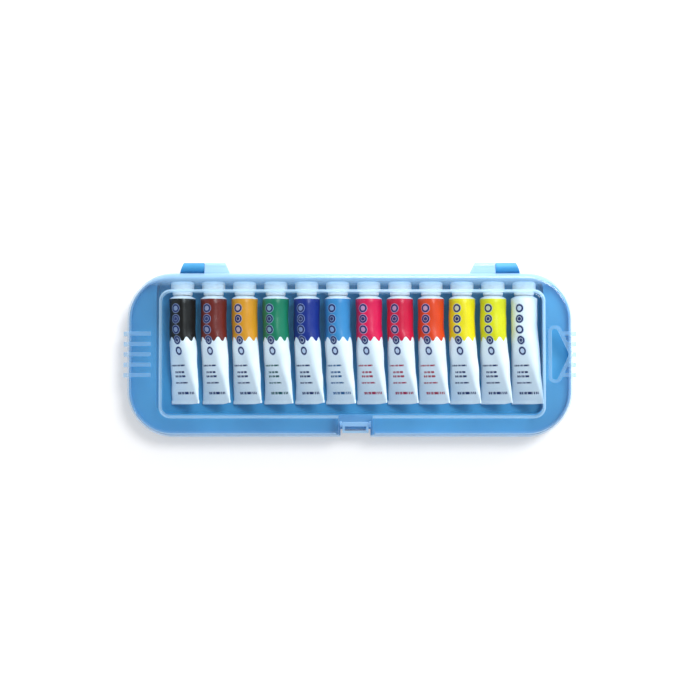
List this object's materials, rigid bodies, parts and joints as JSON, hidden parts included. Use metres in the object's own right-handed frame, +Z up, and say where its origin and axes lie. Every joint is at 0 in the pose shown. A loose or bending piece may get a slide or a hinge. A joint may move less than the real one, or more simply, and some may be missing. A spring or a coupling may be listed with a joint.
{
  "type": "gouache paint set box",
  "caption": "Flat plastic paint box with a clear hinged lid, finger grips, hang hole and front catch, holding a row of metal gouache tubes with screw caps.",
  "frame": {"origin": "middle of the tray's underside", "axes": "+X towards the end with the hang hole, +Y towards the hinges, +Z up out of the lid"},
  "size_m": [0.2728, 0.1053, 0.022],
  "materials": {
    "tray_plastic": "translucent blue polypropylene, satin moulded",
    "lid_plastic": "clear, faintly milky polypropylene, smooth moulded",
    "cap_plastic": "white moulded polyethylene",
    "tube_black": "white lacquered aluminium with a printed black band",
    "gouache_black": "black gouache paste",
    "tube_burnt_sienna": "white lacquered aluminium with a printed burnt sienna band",
    "gouache_burnt_sienna": "burnt sienna gouache paste",
    "tube_ochre": "white lacquered aluminium with a printed ochre band",
    "gouache_ochre": "ochre gouache paste",
    "tube_green": "white lacquered aluminium with a printed green band",
    "gouache_green": "green gouache paste",
    "tube_ultramarine": "white lacquered aluminium with a printed ultramarine band",
    "gouache_ultramarine": "ultramarine gouache paste",
    "tube_sky_blue": "white lacquered aluminium with a printed sky blue band",
    "gouache_sky_blue": "sky blue gouache paste",
    "tube_magenta": "white lacquered aluminium with a printed magenta band",
    "gouache_magenta": "magenta gouache paste",
    "tube_crimson": "white lacquered aluminium with a printed crimson band",
    "gouache_crimson": "crimson gouache paste",
    "tube_vermilion": "white lacquered aluminium with a printed vermilion band",
    "gouache_vermilion": "vermilion gouache paste",
    "tube_yellow": "white lacquered aluminium with a printed yellow band",
    "gouache_yellow": "yellow gouache paste",
    "tube_lemon": "white lacquered aluminium with a printed lemon band",
    "gouache_lemon": "lemon gouache paste",
    "tube_white": "white lacquered aluminium with a printed white band",
    "gouache_white": "white gouache paste"
  },
  "bodies": {
    "tray": {"tray": "tray_plastic"},
    "lid": {"lid": "lid_plastic"},
    "catch": {"catch": "lid_plastic"},
    "tube_01": {"tube_01": "tube_black", "paint_01": "gouache_black"},
    "cap_01": {"cap_01": "cap_plastic"},
    "tube_02": {"tube_02": "tube_burnt_sienna", "paint_02": "gouache_burnt_sienna"},
    "cap_02": {"cap_02": "cap_plastic"},
    "tube_03": {"tube_03": "tube_ochre", "paint_03": "gouache_ochre"},
    "cap_03": {"cap_03": "cap_plastic"},
    "tube_04": {"tube_04": "tube_green", "paint_04": "gouache_green"},
    "cap_04": {"cap_04": "cap_plastic"},
    "tube_05": {"tube_05": "tube_ultramarine", "paint_05": "gouache_ultramarine"},
    "cap_05": {"cap_05": "cap_plastic"},
    "tube_06": {"tube_06": "tube_sky_blue", "paint_06": "gouache_sky_blue"},
    "cap_06": {"cap_06": "cap_plastic"},
    "tube_07": {"tube_07": "tube_magenta", "paint_07": "gouache_magenta"},
    "cap_07": {"cap_07": "cap_plastic"},
    "tube_08": {"tube_08": "tube_crimson", "paint_08": "gouache_crimson"},
    "cap_08": {"cap_08": "cap_plastic"},
    "tube_09": {"tube_09": "tube_vermilion", "paint_09": "gouache_vermilion"},
    "cap_09": {"cap_09": "cap_plastic"},
    "tube_10": {"tube_10": "tube_yellow", "paint_10": "gouache_yellow"},
    "cap_10": {"cap_10": "cap_plastic"},
    "tube_11": {"tube_11": "tube_lemon", "paint_11": "gouache_lemon"},
    "cap_11": {"cap_11": "cap_plastic"},
    "tube_12": {"tube_12": "tube_white", "paint_12": "gouache_white"},
    "cap_12": {"cap_12": "cap_plastic"}
  },
  "joints": [
    {"name": "lid_hinge", "type": "hinge", "parent": "tray", "child": "lid", "pos_m": [0, 0.0529, 0.0104], "axis": [-1, 0, 0], "range_deg": [0, 180]},
    {"name": "catch_flex", "type": "hinge", "parent": "lid", "child": "catch", "pos_m": [0.0033, -0.04185, 0.016], "axis": [-1, 0, 0], "range_deg": [0, 12], "stiffness_Nm_per_rad": 0.02},
    {"name": "tube_01_slide", "type": "slide", "parent": "tray", "child": "tube_01", "axis": [0, 1, 0], "range_m": [-0.004, 0.0012]},
    {"name": "tube_02_slide", "type": "slide", "parent": "tray", "child": "tube_02", "axis": [0, 1, 0], "range_m": [-0.004, 0.0012]},
    {"name": "tube_03_slide", "type": "slide", "parent": "tray", "child": "tube_03", "axis": [0, 1, 0], "range_m": [-0.004, 0.0012]},
    {"name": "tube_04_slide", "type": "slide", "parent": "tray", "child": "tube_04", "axis": [0, 1, 0], "range_m": [-0.004, 0.0012]},
    {"name": "tube_05_slide", "type": "slide", "parent": "tray", "child": "tube_05", "axis": [0, 1, 0], "range_m": [-0.004, 0.0012]},
    {"name": "tube_06_slide", "type": "slide", "parent": "tray", "child": "tube_06", "axis": [0, 1, 0], "range_m": [-0.004, 0.0012]},
    {"name": "tube_07_slide", "type": "slide", "parent": "tray", "child": "tube_07", "axis": [0, 1, 0], "range_m": [-0.004, 0.0012]},
    {"name": "tube_08_slide", "type": "slide", "parent": "tray", "child": "tube_08", "axis": [0, 1, 0], "range_m": [-0.004, 0.0012]},
    {"name": "tube_09_slide", "type": "slide", "parent": "tray", "child": "tube_09", "axis": [0, 1, 0], "range_m": [-0.004, 0.0012]},
    {"name": "tube_10_slide", "type": "slide", "parent": "tray", "child": "tube_10", "axis": [0, 1, 0], "range_m": [-0.004, 0.0012]},
    {"name": "tube_11_slide", "type": "slide", "parent": "tray", "child": "tube_11", "axis": [0, 1, 0], "range_m": [-0.004, 0.0012]},
    {"name": "tube_12_slide", "type": "slide", "parent": "tray", "child": "tube_12", "axis": [0, 1, 0], "range_m": [-0.004, 0.0012]},
    {"name": "cap_01_turn", "type": "hinge", "parent": "tube_01", "child": "cap_01", "pos_m": [-0.1014, 0.04, 0.0097], "axis": [0, 1, 0], "range_deg": [0, 540]},
    {"name": "cap_02_turn", "type": "hinge", "parent": "tube_02", "child": "cap_02", "pos_m": [-0.0826, 0.04, 0.0097], "axis": [0, 1, 0], "range_deg": [0, 540]},
    {"name": "cap_03_turn", "type": "hinge", "parent": "tube_03", "child": "cap_03", "pos_m": [-0.0638, 0.04, 0.0097], "axis": [0, 1, 0], "range_deg": [0, 540]},
    {"name": "cap_04_turn", "type": "hinge", "parent": "tube_04", "child": "cap_04", "pos_m": [-0.045, 0.04, 0.0097], "axis": [0, 1, 0], "range_deg": [0, 540]},
    {"name": "cap_05_turn", "type": "hinge", "parent": "tube_05", "child": "cap_05", "pos_m": [-0.0262, 0.04, 0.0097], "axis": [0, 1, 0], "range_deg": [0, 540]},
    {"name": "cap_06_turn", "type": "hinge", "parent": "tube_06", "child": "cap_06", "pos_m": [-0.0074, 0.04, 0.0097], "axis": [0, 1, 0], "range_deg": [0, 540]},
    {"name": "cap_07_turn", "type": "hinge", "parent": "tube_07", "child": "cap_07", "pos_m": [0.0114, 0.04, 0.0097], "axis": [0, 1, 0], "range_deg": [0, 540]},
    {"name": "cap_08_turn", "type": "hinge", "parent": "tube_08", "child": "cap_08", "pos_m": [0.0302, 0.04, 0.0097], "axis": [0, 1, 0], "range_deg": [0, 540]},
    {"name": "cap_09_turn", "type": "hinge", "parent": "tube_09", "child": "cap_09", "pos_m": [0.049, 0.04, 0.0097], "axis": [0, 1, 0], "range_deg": [0, 540]},
    {"name": "cap_10_turn", "type": "hinge", "parent": "tube_10", "child": "cap_10", "pos_m": [0.0678, 0.04, 0.0097], "axis": [0, 1, 0], "range_deg": [0, 540]},
    {"name": "cap_11_turn", "type": "hinge", "parent": "tube_11", "child": "cap_11", "pos_m": [0.0866, 0.04, 0.0097], "axis": [0, 1, 0], "range_deg": [0, 540]},
    {"name": "cap_12_turn", "type": "hinge", "parent": "tube_12", "child": "cap_12", "pos_m": [0.1054, 0.04, 0.0097], "axis": [0, 1, 0], "range_deg": [0, 540]}
  ]
}
